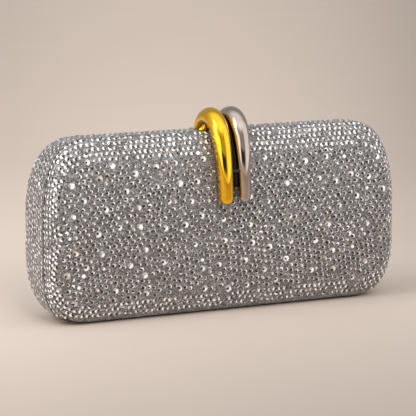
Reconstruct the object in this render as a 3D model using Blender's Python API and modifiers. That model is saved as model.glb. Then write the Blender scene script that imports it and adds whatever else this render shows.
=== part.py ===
"""Hard-case evening clutch: two crystal-covered half shells on a bottom hinge, closed by two metal
hoops that are screwed to the front half and hold by magnets on the crest of the rear half.
Lengths are in metres, +Z is up, and the front of the clutch faces -Y. Shapes are drawn in case
coordinates: X from the middle, Y from the parting plane between the halves, Z from the surface
that the clutch stands on."""

import math

import bpy
import bmesh
import numpy as np
from mathutils import Vector

# Case
BODY_WIDTH = 0.200
BODY_HEIGHT = 0.096
FRONT_DEPTH = 0.0132
REAR_DEPTH = 0.033
BASE_CUT = 0.0010
CORNER_RUN = 0.0268
CORNER_POWER = 2.88
TOP_CORNER_RISE_SHARE = 0.995
BOTTOM_CORNER_RISE_SHARE = 0.64
FRONT_END_ROUND = 0.0145
FRONT_END_POWER = 3.0
FRONT_FACE_ROUND_SHARE = 0.963
FRONT_FACE_POWER = 2.08
REAR_END_ROUND = 0.0075
REAR_END_POWER = 3.8
REAR_FACE_ROUND_SHARE = 0.52
REAR_FACE_POWER = 3.2
CORNER_STEPS = 9
DEPTH_STEPS = 8

# Layers, from the outside in
GAP = 0.0003
SEAM = 0.0004
COVER_WALL = 0.0012
SHELL_INSET = 0.0018
SHELL_WALL = 0.0014
LINING_INSET = 0.0054
LINING_WALL = 0.0009
FRAME_THICKNESS = 0.0008
FRAME_BAND = 0.0085

# Hinge along the bottom of the parting plane
HINGE_HEIGHT = 0.0027
HINGE_LENGTH = 0.120
KNUCKLE_COUNT = 5
KNUCKLE_RADIUS = 0.0020
PIN_RADIUS = 0.0008
PIN_HEAD_RADIUS = 0.0014
PIN_HEAD_LENGTH = 0.0006
GROOVE_RADIUS = 0.0034
GROOVE_SETBACK = 0.010
LEAF_THICKNESS = 0.0008
LEAF_TOP = 0.0098
LEAF_CLEARANCE = 0.0006
RIVET_RADIUS = 0.0008
RIVET_HEAD_RADIUS = 0.0013
RIVET_HEAD_LENGTH = 0.0005
RIVET_HEIGHT = 0.0080

# Clasp hoops
HOOP_RADIUS = 0.0044
HOOP_SPACING = 0.0102
HOOP_CLEARANCE = 0.0006
CREST_LIFT = 0.0017
ARCH_REACH = 0.0119
ARCH_RISE = 0.0108
LEG_END_ANGLE = math.radians(73)
LEG_STEPS = 16
ARCH_STEPS = 10
TIP_STEPS = 5
TIP_TURN_SHARE = 0.93
WEB_THICKNESS = 0.0008
WEB_WIDTH = 0.0052
WEB_SETBACK = 0.0030
WEB_PIN_ANGLES = {"upper": 0.0, "lower": math.radians(57)}
WEB_PIN_RADIUS = 0.0010
WEB_PIN_LENGTH = 0.0102
HOOP_SCREW_ANGLES = {"upper": math.radians(46), "lower": math.radians(68)}
HOOP_SCREW_RADIUS = 0.0009
HOOP_SCREW_GRIP = 0.0034
HOOP_SCREW_HEAD_RADIUS = 0.0017
HOOP_SCREW_HEAD_LENGTH = 0.0007
MAGNET_RADIUS = 0.0025
MAGNET_LENGTH = 0.0020

# Striker plate in its saddle on the crest of the rear half
STRIKER_WIDTH = 0.0212
STRIKER_END = 0.0168
STRIKER_DROP = 0.0012
STRIKER_THICKNESS = 0.0010
STRIKER_SCREW_RADIUS = 0.0008
STRIKER_SCREW_LENGTH = 0.0018
STRIKER_SCREW_HEAD_RADIUS = 0.0015
STRIKER_SCREW_HEAD_LENGTH = 0.0004
STRIKER_SCREW_INSET = 0.0028

# Pocket on the back of the rear lining
POCKET_WIDTH = 0.110
POCKET_HEIGHT = 0.040
POCKET_THICKNESS = 0.0020
POCKET_PANEL = 0.0007
POCKET_BACK = 0.0005
POCKET_SEAM = 0.0015
POCKET_BASE = 0.026

# Cutting and faceting
OVERRUN = 0.002
WELD = 0.000002
ROUND_SIDES = 24
SMALL_SIDES = 16
TUBE_RESOLUTION = 4
SMOOTH_ANGLE = math.radians(35)

# Places worked out from the sizes above
HALF_HEIGHT = (BODY_HEIGHT + BASE_CUT) / 2
CENTRE_HEIGHT = BODY_HEIGHT - HALF_HEIGHT
FRONT_FACE_ROUND = HALF_HEIGHT * FRONT_FACE_ROUND_SHARE
REAR_FACE_ROUND = HALF_HEIGHT * REAR_FACE_ROUND_SHARE
TOP_CORNER_RISE = HALF_HEIGHT * TOP_CORNER_RISE_SHARE
BOTTOM_CORNER_RISE = HALF_HEIGHT * BOTTOM_CORNER_RISE_SHARE
HALF_SEAM = SEAM / 2
FRAME_INSET = COVER_WALL + GAP
FRAME_BACK = HALF_SEAM + FRAME_THICKNESS
LAYER_MOUTH = FRAME_BACK + GAP
LEAF_BACK = LAYER_MOUTH + LEAF_THICKNESS
SHELL_BACK = SHELL_INSET + SHELL_WALL
HOOP_OFFSET = HOOP_RADIUS + HOOP_CLEARANCE
APEX_HEIGHT = BODY_HEIGHT + HOOP_OFFSET + CREST_LIFT
STRIKER_TOP = BODY_HEIGHT - STRIKER_DROP
HOOP_FOOT = STRIKER_TOP + GAP
HINGE_AXIS = Vector((0, 0, HINGE_HEIGHT))
GROOVE_LENGTH = BODY_WIDTH - GROOVE_SETBACK - GROOVE_SETBACK

FRONT = {"sign": -1, "depth": FRONT_DEPTH,
         "end_round": FRONT_END_ROUND, "end_power": FRONT_END_POWER,
         "face_round": FRONT_FACE_ROUND, "face_power": FRONT_FACE_POWER}
REAR = {"sign": 1, "depth": REAR_DEPTH,
        "end_round": REAR_END_ROUND, "end_power": REAR_END_POWER,
        "face_round": REAR_FACE_ROUND, "face_power": REAR_FACE_POWER}


def clear_scene():
    """Remove every object, so that the model starts from an empty scene."""
    for thing in list(bpy.data.objects):
        bpy.data.objects.remove(thing, do_unlink=True)


def new_collection(name):
    collection = bpy.data.collections.new(name)
    bpy.context.scene.collection.children.link(collection)
    return collection


def new_material(name, colour, metallic, roughness):
    """A Principled material in one colour."""
    material = bpy.data.materials.new(name)
    material.use_nodes = True
    shader = material.node_tree.nodes["Principled BSDF"]
    shader.inputs["Base Color"].default_value = (*colour, 1)
    shader.inputs["Metallic"].default_value = metallic
    shader.inputs["Roughness"].default_value = roughness
    return material


def new_pivot(name, place, parent=None):
    """An empty that carries other objects, at a place in its parent's coordinates."""
    pivot = bpy.data.objects.new(name, None)
    parts.objects.link(pivot)
    pivot.parent = parent
    pivot.location = place
    return pivot


def settle(mesh, material):
    """Give a mesh its material and its shading."""
    mesh.materials.append(material)
    mesh.shade_smooth()
    mesh.set_sharp_from_angle(angle=SMOOTH_ANGLE)
    return mesh


def add_part(name, mesh, body, place=(0, 0, 0), turn=None):
    """Hang a mesh on a body's pivot, at a place in case coordinates."""
    part = bpy.data.objects.new(name, mesh)
    parts.objects.link(part)
    part.parent = body
    part.location = Vector(place) - body.location
    if turn is not None:
        part.rotation_mode = "QUATERNION"
        part.rotation_quaternion = turn
    return part


def add_cutter(name, mesh, place=(0, 0, 0), turn=None):
    """Put a mesh among the cutters, at a place in case coordinates."""
    cutter = bpy.data.objects.new(name, mesh)
    cutters.objects.link(cutter)
    cutter.parent = case_origin
    cutter.location = place
    cutter.hide_render = True
    cutter.display_type = "WIRE"
    if turn is not None:
        cutter.rotation_mode = "QUATERNION"
        cutter.rotation_quaternion = turn
    return cutter


def combine(part, tools, operation):
    for tool in tools:
        boolean = part.modifiers.new(f"{operation.lower()}_{tool.name}", "BOOLEAN")
        boolean.operation = operation
        boolean.solver = "EXACT"
        boolean.object = tool


def cut(part, *tools):
    combine(part, tools, "DIFFERENCE")


def join(part, *tools):
    combine(part, tools, "UNION")


def along(direction):
    """The turn that takes +Z to a direction."""
    return Vector((0, 0, 1)).rotation_difference(Vector(direction))


def finish_mesh(name, shape):
    """Turn a bmesh into a mesh with its faces pointing out."""
    bmesh.ops.recalc_face_normals(shape, faces=shape.faces)
    mesh = bpy.data.meshes.new(name)
    shape.to_mesh(mesh)
    shape.free()
    return mesh


def box_mesh(name, low, high):
    """A box between two corners."""
    low, high = Vector(low), Vector(high)
    shape = bmesh.new()
    bmesh.ops.create_cube(shape, size=1)
    bmesh.ops.scale(shape, vec=high - low, verts=shape.verts)
    bmesh.ops.translate(shape, vec=(low + high) / 2, verts=shape.verts)
    return finish_mesh(name, shape)


def rod_mesh(name, radius, length, sides=SMALL_SIDES):
    """A cylinder along Z about its middle."""
    shape = bmesh.new()
    bmesh.ops.create_cone(shape, cap_ends=True, segments=sides, radius1=radius, radius2=radius,
                          depth=length)
    return finish_mesh(name, shape)


def profile_mesh(name, points):
    """An open profile in radius and height, from top to bottom, to be turned about Z."""
    mesh = bpy.data.meshes.new(name)
    mesh.from_pydata([(radius, 0, height) for radius, height in points],
                     [(i, i + 1) for i in range(len(points) - 1)], [])
    return mesh


def screw_mesh(name, radius, length, head_radius, head_length, room=0.0):
    """Profile of a headed fastener that points down from its head; room widens it to a hole."""
    return profile_mesh(name, [
        (0, head_length + room), (head_radius + room, head_length + room),
        (head_radius + room, -room), (radius + room, -room),
        (radius + room, -length - room), (0, -length - room)])


def turned(part):
    """Turn a profile into a solid."""
    screw = part.modifiers.new("turn", "SCREW")
    screw.axis = "Z"
    screw.steps = SMALL_SIDES
    screw.render_steps = SMALL_SIDES
    screw.use_merge_vertices = True
    screw.merge_threshold = WELD
    return part


def round_over(share, power):
    """How far a superelliptic round has turned in, from 0 to 1, at a share of its depth."""
    return 1 - (1 - share ** power) ** (1 / power)


def section(side, inset, distance):
    """The rounded outline in X and Z at a distance from the parting plane, inset from the skin.
    Each corner is a quarter of a superellipse; the width and height shrink towards the face."""
    share = min(distance / (side["depth"] - inset), 1)
    half_width = BODY_WIDTH / 2 - inset
    half_width -= (side["end_round"] - inset) * round_over(share, side["end_power"])
    full_height = HALF_HEIGHT - inset
    half_height = full_height - (side["face_round"] - inset) * round_over(share, side["face_power"])
    squeeze = half_height / full_height
    run = CORNER_RUN - inset
    top_rise = (TOP_CORNER_RISE - inset) * squeeze
    bottom_rise = (BOTTOM_CORNER_RISE - inset) * squeeze
    turn = np.linspace(0, math.pi / 2, CORNER_STEPS + 1)
    out = np.abs(np.cos(turn)) ** (2 / CORNER_POWER)
    up = np.sin(turn) ** (2 / CORNER_POWER)
    across = half_width - run + run * out
    top = half_height - top_rise + top_rise * up
    bottom = -(half_height - bottom_rise) - bottom_rise * up
    x = np.concatenate([across, -across[::-1], -across, across[::-1]])
    z = np.concatenate([top, top[::-1], bottom, bottom[::-1]]) + CENTRE_HEIGHT
    return x, np.maximum(z, inset)


def wall_mesh(name, side, inset, mouth, lip):
    """The open outer surface of a half shell: a loft of outlines from a short straight lip at
    the mouth, evenly round the curve, to the face, which closes it."""
    depth = side["depth"] - inset
    start = math.asin((mouth + lip) / depth)
    distances = [depth * math.sin(angle) for angle in np.linspace(start, math.pi / 2, DEPTH_STEPS)]
    rows = []
    for distance in [mouth] + distances:
        x, z = section(side, inset, max(distance, distances[0]))
        rows.append(np.stack([x, np.full_like(x, side["sign"] * distance), z], axis=1))
    count = len(rows[0])
    faces = [list(range((len(rows) - 1) * count, len(rows) * count))]
    for row in range(len(rows) - 1):
        for i in range(count):
            j = (i + 1) % count
            faces.append([row * count + i, row * count + j,
                          (row + 1) * count + j, (row + 1) * count + i])
    mesh = bpy.data.meshes.new(name)
    mesh.from_pydata(np.concatenate(rows).tolist(), [], faces)
    shape = bmesh.new()
    shape.from_mesh(mesh)
    bpy.data.meshes.remove(mesh)
    return finish_mesh(name, shape)


def add_layer(name, side, body, material, inset, wall, mouth):
    """One layer of a half: an open surface, thickened inwards, with a lip as deep as its wall."""
    layer = add_part(name, settle(wall_mesh(name, side, inset, mouth, wall), material), body)
    solidify = layer.modifiers.new("wall", "SOLIDIFY")
    solidify.thickness = wall
    solidify.offset = -1
    solidify.use_even_offset = True
    solidify.use_quality_normals = True
    return layer


def curve_to_mesh(name, curve):
    """The mesh of a curve, with its caps welded on."""
    guide = bpy.data.objects.new(name, curve)
    cutters.objects.link(guide)
    seen = guide.evaluated_get(bpy.context.evaluated_depsgraph_get())
    mesh = bpy.data.meshes.new_from_object(seen)
    bpy.data.objects.remove(guide, do_unlink=True)
    shape = bmesh.new()
    shape.from_mesh(mesh)
    bpy.data.meshes.remove(mesh)
    bmesh.ops.remove_doubles(shape, verts=shape.verts, dist=WELD)
    return finish_mesh(name, shape)


def frame_mesh(name, side):
    """A flat rim: the outline at the parting plane and a smaller outline inside it, once for each
    face of the frame, joined all round in quads."""
    rings = []
    for inset, depth in ((FRAME_INSET, -1), (FRAME_INSET, 1),
                         (FRAME_INSET + FRAME_BAND, 1), (FRAME_INSET + FRAME_BAND, -1)):
        x, z = section(side, inset, 0)
        rings.append(np.stack([x, z, np.full_like(x, depth * FRAME_THICKNESS / 2)], axis=1))
    count = len(rings[0])
    faces = []
    for ring, following in ((0, 1), (1, 2), (2, 3), (3, 0)):
        for i in range(count):
            j = (i + 1) % count
            faces.append([ring * count + i, ring * count + j,
                          following * count + j, following * count + i])
    mesh = bpy.data.meshes.new(name)
    mesh.from_pydata(np.concatenate(rings).tolist(), [], faces)
    shape = bmesh.new()
    shape.from_mesh(mesh)
    bpy.data.meshes.remove(mesh)
    return finish_mesh(name, shape)


def face_point(angle):
    """A point of the front face's middle section, 0 at the crest, and the way out there."""
    y = -FRONT_DEPTH * math.sin(angle)
    z = BODY_HEIGHT - FRONT_FACE_ROUND * (1 - math.cos(angle))
    out = Vector((0, -FRONT_FACE_ROUND * math.sin(angle), FRONT_DEPTH * math.cos(angle)))
    return Vector((0, y, z)), out.normalized()


def hoop_point(angle):
    """Centre line of a hoop over the front: the face's section, stood off by the hoop's radius
    and its clearance, and lifted a little more towards the crest."""
    place, out = face_point(angle)
    return place + out * (HOOP_OFFSET + CREST_LIFT * math.cos(angle) ** 2)


def arch_point(angle):
    """Centre line behind the crest: a quarter of an ellipse that starts level at the apex."""
    return Vector((0, ARCH_REACH * math.sin(angle), APEX_HEIGHT - ARCH_RISE * (1 - math.cos(angle))))


def hoop_path():
    """Points from the rear end over the crest to the centre of the tip."""
    points = [arch_point(angle) for angle in np.linspace(math.pi / 2, 0, ARCH_STEPS)]
    return points + [hoop_point(angle) for angle in np.linspace(0, LEG_END_ANGLE, LEG_STEPS)[1:]]


def hoop_mesh(name):
    """A round bar along the path, with a ball end round the centre of the tip."""
    points = hoop_path()
    tip = points[-1]
    down = (tip - points[-2]).normalized()
    radius_shares = [1.0] * len(points)
    for turn in np.linspace(0, math.pi / 2 * TIP_TURN_SHARE, TIP_STEPS + 1)[1:]:
        points.append(tip + down * HOOP_RADIUS * math.sin(turn))
        radius_shares.append(math.cos(turn))
    curve = bpy.data.curves.new(name, "CURVE")
    curve.dimensions = "3D"
    curve.bevel_depth = HOOP_RADIUS
    curve.bevel_resolution = TUBE_RESOLUTION
    curve.use_fill_caps = True
    spline = curve.splines.new("POLY")
    spline.points.add(len(points) - 1)
    for place, share, spline_point in zip(points, radius_shares, spline.points):
        spline_point.co = (*place, 1)
        spline_point.radius = share
    return curve_to_mesh(name, curve)


def web_mesh(name):
    """A flat strip along the hoops' path, which stops short of their tips."""
    path = hoop_path()
    tip = path[-1]
    kept = [point for point in path if (point - tip).length > WEB_SETBACK]
    kept.append(tip + (kept[-1] - tip).normalized() * WEB_SETBACK)
    shape = bmesh.new()
    rails = []
    for before, point, after in zip(kept[:1] + kept, kept, kept[1:] + kept[-1:]):
        run = (after - before).normalized()
        out = Vector((0, -run.z, run.y)) * WEB_WIDTH / 2
        rails.append((shape.verts.new(point - out), shape.verts.new(point + out)))
    for (inner, outer), (next_inner, next_outer) in zip(rails, rails[1:]):
        shape.faces.new((inner, outer, next_outer, next_inner))
    return finish_mesh(name, shape)


def build_cases():
    """Crystal covers, shells, linings and frames of both halves."""
    halves = {}
    for label, side, body in (("front", FRONT, front_case), ("rear", REAR, rear_case)):
        frame = add_part(f"{label}_frame", settle(frame_mesh("frame", side), gunmetal), body,
                         (0, side["sign"] * (HALF_SEAM + FRAME_THICKNESS / 2), 0), along((0, -1, 0)))
        halves[label] = {
            "frame": frame,
            "cover": add_layer(f"{label}_crystal_cover", side, body, crystal,
                               0, COVER_WALL, HALF_SEAM),
            "shell": add_layer(f"{label}_shell", side, body, board,
                               SHELL_INSET, SHELL_WALL, LAYER_MOUTH),
            "lining": add_layer(f"{label}_lining", side, body, satin,
                                LINING_INSET, LINING_WALL, LAYER_MOUTH)}
    return halves


def knuckle_spans():
    """Start and end of each hinge knuckle along X."""
    pitch = HINGE_LENGTH / KNUCKLE_COUNT
    starts = [-HINGE_LENGTH / 2 + pitch * i for i in range(KNUCKLE_COUNT)]
    return [(start + GAP / 2, start + pitch - GAP / 2) for start in starts]


def build_hinge(halves):
    """Leaves riveted behind the frames, interleaved knuckles, a pin, and the groove round them."""
    sideways = along((1, 0, 0))
    groove = add_cutter("hinge_groove", rod_mesh("groove", GROOVE_RADIUS, GROOVE_LENGTH, ROUND_SIDES),
                        HINGE_AXIS, sideways)
    bore = add_cutter("pin_bore", rod_mesh("bore", PIN_RADIUS + GAP, HINGE_LENGTH + OVERRUN),
                      HINGE_AXIS, sideways)
    half_length = HINGE_LENGTH / 2
    leaf_bottom = HINGE_HEIGHT + KNUCKLE_RADIUS + LEAF_CLEARANCE
    rivet = settle(screw_mesh("rivet", RIVET_RADIUS, LEAF_BACK + GAP - HALF_SEAM - GAP / 3,
                              RIVET_HEAD_RADIUS, RIVET_HEAD_LENGTH), steel)
    hole = rod_mesh("rivet_hole", RIVET_RADIUS + GAP, LEAF_BACK + OVERRUN)
    for label, body, own_knuckles in (("front", front_case, (1, 3)), ("rear", rear_case, (0, 2, 4))):
        sign = -1 if label == "front" else 1
        near, far = sorted((sign * LAYER_MOUTH, sign * LEAF_BACK))
        leaf = add_part(f"{label}_hinge_leaf", settle(box_mesh(
            "leaf", (-half_length, near, leaf_bottom), (half_length, far, LEAF_TOP)), steel), body)
        inward = along((0, sign, 0))
        for count, i in enumerate(own_knuckles, start=1):
            start, end = knuckle_spans()[i]
            middle = (start + end) / 2
            tab = add_cutter(f"{label}_tab_{count}", box_mesh(
                "tab", (start, near, HINGE_HEIGHT), (end, far, leaf_bottom + GAP)))
            knuckle = add_cutter(f"{label}_knuckle_{count}", rod_mesh(
                "knuckle", KNUCKLE_RADIUS, end - start, ROUND_SIDES),
                (middle, 0, HINGE_HEIGHT), sideways)
            join(leaf, tab, knuckle)
            turned(add_part(f"{label}_hinge_rivet_{count}", rivet, body,
                            (middle, sign * (LEAF_BACK + GAP), RIVET_HEIGHT), inward))
            rivet_hole = add_cutter(f"{label}_rivet_hole_{count}", hole,
                                    (middle, sign * (LEAF_BACK + OVERRUN) / 2, RIVET_HEIGHT), inward)
            cut(leaf, rivet_hole)
            cut(halves[label]["frame"], rivet_hole)
        cut(leaf, bore)
        for layer in ("cover", "shell", "frame"):
            cut(halves[label][layer], groove)
        near, far = sorted((0, sign * (LEAF_BACK + GAP + RIVET_HEAD_LENGTH + GAP)))
        cut(halves[label]["lining"], add_cutter(f"{label}_leaf_window", box_mesh(
            "window", (-half_length - GAP, near, HINGE_HEIGHT),
            (half_length + GAP, far, LEAF_TOP + GAP))))
    head_start = half_length + GAP
    head_end = head_start + PIN_HEAD_LENGTH
    pin = profile_mesh("hinge_pin", [
        (0, head_end), (PIN_HEAD_RADIUS, head_end), (PIN_HEAD_RADIUS, head_start),
        (PIN_RADIUS, head_start), (PIN_RADIUS, -head_start), (PIN_HEAD_RADIUS, -head_start),
        (PIN_HEAD_RADIUS, -head_end), (0, -head_end)])
    turned(add_part("hinge_pin", settle(pin, steel), rear_case, HINGE_AXIS, sideways))


def build_striker(halves):
    """A steel plate let into the crest of the rear half, under the hoops' rear ends."""
    half_width = STRIKER_WIDTH / 2
    bottom = STRIKER_TOP - STRIKER_THICKNESS
    saddle = add_cutter("striker_saddle", box_mesh(
        "saddle", (-half_width - GAP, -GAP, bottom - GAP),
        (half_width + GAP, STRIKER_END + GAP, BODY_HEIGHT + OVERRUN)))
    cut(halves["rear"]["cover"], saddle)
    cut(halves["rear"]["shell"], saddle)
    plate = add_part("striker_plate", settle(box_mesh(
        "plate", (-half_width, LAYER_MOUTH, bottom), (half_width, STRIKER_END, STRIKER_TOP)), steel),
        rear_case)
    sizes = (STRIKER_SCREW_RADIUS, STRIKER_SCREW_LENGTH - STRIKER_SCREW_HEAD_LENGTH,
             STRIKER_SCREW_HEAD_RADIUS, STRIKER_SCREW_HEAD_LENGTH)
    screw = settle(screw_mesh("striker_screw", *sizes), steel)
    hole = screw_mesh("striker_hole", *sizes, room=GAP)
    head_seat = STRIKER_TOP - GAP / 3 - STRIKER_SCREW_HEAD_LENGTH
    rows = (LAYER_MOUTH + STRIKER_SCREW_INSET, STRIKER_END - STRIKER_SCREW_INSET)
    for count, y in enumerate(rows, start=1):
        turned(add_part(f"striker_screw_{count}", screw, rear_case, (0, y, head_seat)))
        screw_hole = turned(add_cutter(f"striker_hole_{count}", hole, (0, y, head_seat)))
        cut(plate, screw_hole)
        cut(halves["rear"]["shell"], screw_hole)


def build_pocket():
    """A flat pocket, open at the top, on the back of the rear lining."""
    back = REAR_DEPTH - LINING_INSET - LINING_WALL - GAP
    front = back - POCKET_THICKNESS
    half_width = POCKET_WIDTH / 2
    top = POCKET_BASE + POCKET_HEIGHT
    pocket = add_part("slip_pocket", settle(box_mesh(
        "pocket", (-half_width, front, POCKET_BASE), (half_width, back, top)), satin), rear_case)
    inside = half_width - POCKET_SEAM
    cut(pocket, add_cutter("pocket_inside", box_mesh(
        "inside", (-inside, front + POCKET_PANEL, POCKET_BASE + POCKET_SEAM),
        (inside, back - POCKET_BACK, top + OVERRUN))))


def build_clasp(halves):
    """Two hoops with a web between them, pins through web and hoops, magnets in the rear ends,
    and the screws that hold the hoops to the front shell."""
    sideways = along((1, 0, 0))
    outer_edge = HOOP_SPACING / 2 + HOOP_RADIUS + OVERRUN
    foot = add_cutter("hoop_foot", box_mesh(
        "foot", (-outer_edge, OVERRUN, HOOP_FOOT - ARCH_RISE),
        (outer_edge, ARCH_REACH + HOOP_RADIUS + OVERRUN, HOOP_FOOT)))
    foot_angle = math.acos(1 - (APEX_HEIGHT - HOOP_FOOT) / ARCH_RISE)
    foot_y = arch_point(foot_angle).y
    web = add_part("clasp_web", settle(web_mesh("web"), black), front_case)
    solidify = web.modifiers.new("thickness", "SOLIDIFY")
    solidify.thickness = WEB_THICKNESS
    solidify.offset = 0
    pin = settle(rod_mesh("web_pin", WEB_PIN_RADIUS, WEB_PIN_LENGTH), steel)
    bore = rod_mesh("web_pin_bore", WEB_PIN_RADIUS + GAP, WEB_PIN_LENGTH + GAP + GAP)
    bores = []
    for label, angle in WEB_PIN_ANGLES.items():
        add_part(f"web_pin_{label}", pin, front_case, hoop_point(angle), sideways)
        bores.append(add_cutter(f"web_pin_bore_{label}", bore, hoop_point(angle), sideways))
    cut(web, foot, *bores)
    magnet = settle(rod_mesh("magnet", MAGNET_RADIUS, MAGNET_LENGTH), steel)
    seat_length = OVERRUN + MAGNET_LENGTH + GAP
    seat = rod_mesh("magnet_seat", MAGNET_RADIUS + GAP, seat_length)
    screw_length = SHELL_BACK + GAP + HOOP_CLEARANCE + HOOP_SCREW_GRIP
    screw = settle(screw_mesh("hoop_screw", HOOP_SCREW_RADIUS, screw_length,
                              HOOP_SCREW_HEAD_RADIUS, HOOP_SCREW_HEAD_LENGTH), steel)
    shank_hole = rod_mesh("hoop_screw_hole", HOOP_SCREW_RADIUS + GAP, screw_length + GAP + GAP)
    bar = hoop_mesh("hoop")
    for name, side, metal in (("gold_hoop", -1, gold), ("gunmetal_hoop", 1, gunmetal)):
        aside = Vector((side * HOOP_SPACING / 2, 0, 0))
        hoop = add_part(name, settle(bar.copy(), metal), front_case, aside)
        add_part(f"{name}_magnet", magnet, front_case,
                 aside + Vector((0, foot_y, HOOP_FOOT + MAGNET_LENGTH / 2)))
        magnet_seat = add_cutter(f"{name}_magnet_seat", seat,
                                 aside + Vector((0, foot_y, HOOP_FOOT - OVERRUN + seat_length / 2)))
        cut(hoop, foot, magnet_seat, *bores)
        for label, angle in HOOP_SCREW_ANGLES.items():
            place, out = face_point(angle)
            head_seat = place + aside - out * (SHELL_BACK + GAP)
            turned(add_part(f"{name}_screw_{label}", screw, front_case, head_seat, along(-out)))
            hole = add_cutter(f"{name}_screw_hole_{label}", shank_hole,
                              head_seat + out * screw_length / 2, along(-out))
            cut(hoop, hole)
            cut(halves["front"]["cover"], hole)
            cut(halves["front"]["shell"], hole)


clear_scene()
parts = new_collection("clutch")
cutters = new_collection("cutters")

crystal = new_material("crystal_cloth", (0.60, 0.58, 0.58), 0.1, 0.35)
board = new_material("shell_board", (0.10, 0.10, 0.11), 0.0, 0.6)
satin = new_material("lining_satin", (0.30, 0.29, 0.30), 0.0, 0.5)
gold = new_material("polished_gold", (0.83, 0.57, 0.13), 1.0, 0.12)
gunmetal = new_material("polished_gunmetal", (0.42, 0.39, 0.38), 1.0, 0.14)
black = new_material("black_enamel", (0.01, 0.01, 0.01), 0.2, 0.3)
steel = new_material("nickel_steel", (0.55, 0.55, 0.56), 1.0, 0.3)

front_reach = HOOP_RADIUS - hoop_point(LEG_END_ANGLE).y
case_origin = new_pivot("case_origin", (0, (front_reach - REAR_DEPTH) / 2, 0))
rear_case = new_pivot("rear_case", (0, 0, 0), case_origin)
front_case = new_pivot("front_case", HINGE_AXIS, case_origin)

case_halves = build_cases()
build_hinge(case_halves)
build_striker(case_halves)
build_pocket()
build_clasp(case_halves)
bpy.context.view_layer.update()
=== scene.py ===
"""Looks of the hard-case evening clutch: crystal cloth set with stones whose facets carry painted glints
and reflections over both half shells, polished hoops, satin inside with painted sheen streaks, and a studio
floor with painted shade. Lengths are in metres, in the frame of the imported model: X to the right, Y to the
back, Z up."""

import math

import bmesh
import bpy
import numpy as np
from mathutils import Matrix, Vector


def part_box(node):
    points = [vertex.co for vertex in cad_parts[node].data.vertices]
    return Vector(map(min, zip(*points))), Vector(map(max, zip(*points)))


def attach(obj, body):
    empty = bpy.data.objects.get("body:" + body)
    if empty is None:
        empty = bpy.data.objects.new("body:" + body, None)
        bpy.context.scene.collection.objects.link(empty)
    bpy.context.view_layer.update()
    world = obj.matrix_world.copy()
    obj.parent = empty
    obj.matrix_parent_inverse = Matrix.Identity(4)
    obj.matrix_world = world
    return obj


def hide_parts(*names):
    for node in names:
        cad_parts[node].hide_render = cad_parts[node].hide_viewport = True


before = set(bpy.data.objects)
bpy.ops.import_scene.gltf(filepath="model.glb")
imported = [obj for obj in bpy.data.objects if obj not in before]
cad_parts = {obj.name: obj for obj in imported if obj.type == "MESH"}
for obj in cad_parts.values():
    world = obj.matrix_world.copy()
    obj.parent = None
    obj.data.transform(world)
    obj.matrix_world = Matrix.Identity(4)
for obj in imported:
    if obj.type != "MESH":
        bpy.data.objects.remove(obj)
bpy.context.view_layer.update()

# Camera, as fitted to the photograph, in degrees, metres and picture dots
CAMERA_TURN, CAMERA_PITCH = 25.33, 9.81
CAMERA_REACH = 1.1758
AIM_RIGHT, AIM_UP = -0.00672, 0.00591
FOCAL_DOTS = 2255.2
PICTURE_DOTS = 416
SENSOR_WIDTH = 36

# Case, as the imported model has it
HALF_WIDTH = 0.100
CASE_HEIGHT = 0.096
HALF_HEIGHT = 0.0485
CENTRE_HEIGHT = CASE_HEIGHT - HALF_HEIGHT
CORNER_RUN = 0.0268
CORNER_POWER = 2.88
TOP_RISE = HALF_HEIGHT * 0.995
BOTTOM_RISE = HALF_HEIGHT * 0.64
HALF_SEAM = 0.0002
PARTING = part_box("rear_frame")[0][1] - HALF_SEAM
FRONT = {"sign": -1, "depth": 0.0132, "end_round": 0.0145, "end_power": 3.0,
         "face_round": HALF_HEIGHT * 0.963, "face_power": 2.08}
REAR = {"sign": 1, "depth": 0.033, "end_round": 0.0075, "end_power": 3.8,
        "face_round": HALF_HEIGHT * 0.52, "face_power": 3.2}
HALVES = (("front", FRONT, "front_case"), ("rear", REAR, "rear_case"))
HINGE_HEIGHT = 0.0027
GROOVE_RADIUS = 0.0034
GROOVE_END = 0.090
SADDLE_HALF = 0.0117
SADDLE_RIM = SADDLE_HALF + 0.0003
SADDLE_END = 0.0171
SADDLE_LOWEST = CENTRE_HEIGHT * 1.5

# Fineness of the meshes
WELD = 0.000001
HAIR = 0.00001
OUTLINE_STEPS = 400
HALVINGS = 26
SLOPE_STEP = 0.0003
FINE_STEP = 0.0008
FINE_ANGLES = 240
MOUTH_STEPS = np.array([0.0, 0.00015, 0.0003, 0.0005, 0.00075, 0.0010, 0.0014])
FACE_SHRINK = np.array([0.86, 0.68, 0.46, 0.22, 0.0])
SHARP_ANGLE = math.radians(40)

# Crystal cloth
CLOTH_INSET = 0.0008
CLOTH_WALL = 0.0003
CLOTH_MOUTH = 0.0008
CLOTH_STEP, CLOTH_ROWS = 0.0022, 34
ROLL_DEPTH = 0.0005
ROLL_WIDTH = 0.0010

# Small stones, in rows along the seam and in slanting rows over the faces
STONE_RADIUS = 0.00110
STONE_SIZES = (0.86, 1.12)
STONE_HEIGHT = 0.75
STONE_MARGIN = 0.0012
STONE_JITTER = 0.00008
LOST_SHARE = 0.01
FIRST_ROW = 0.0023
ROW_PITCH = 0.0030
ROW_GAP = ROW_PITCH * 0.93
LAST_ROW_SHARE = 1.2
STONE_PITCH = 0.0032
UPPER_ROWS = {"lean": math.radians(-54), "along": STONE_PITCH * 0.95, "across": STONE_PITCH * 0.92,
              "bend": 0.0016}
LOWER_ROWS = {"lean": math.radians(-13), "along": STONE_PITCH, "across": STONE_PITCH * 0.90,
              "bend": 0.0020}
FIELD_REACH = 0.26
BEND_OVER_Z, BEND_OVER_X = 0.021, 0.034
BORDER_HEIGHT, BORDER_WAVE, BORDER_LENGTH = 0.040, 0.006, 0.022
EVEN_JITTER = 0.00012
UNEVEN_MIDDLE, UNEVEN_WIDTH = -0.03, 0.045
RIM_ROOM = STONE_PITCH * 0.80
CROWDED = STONE_PITCH * 0.66
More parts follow.
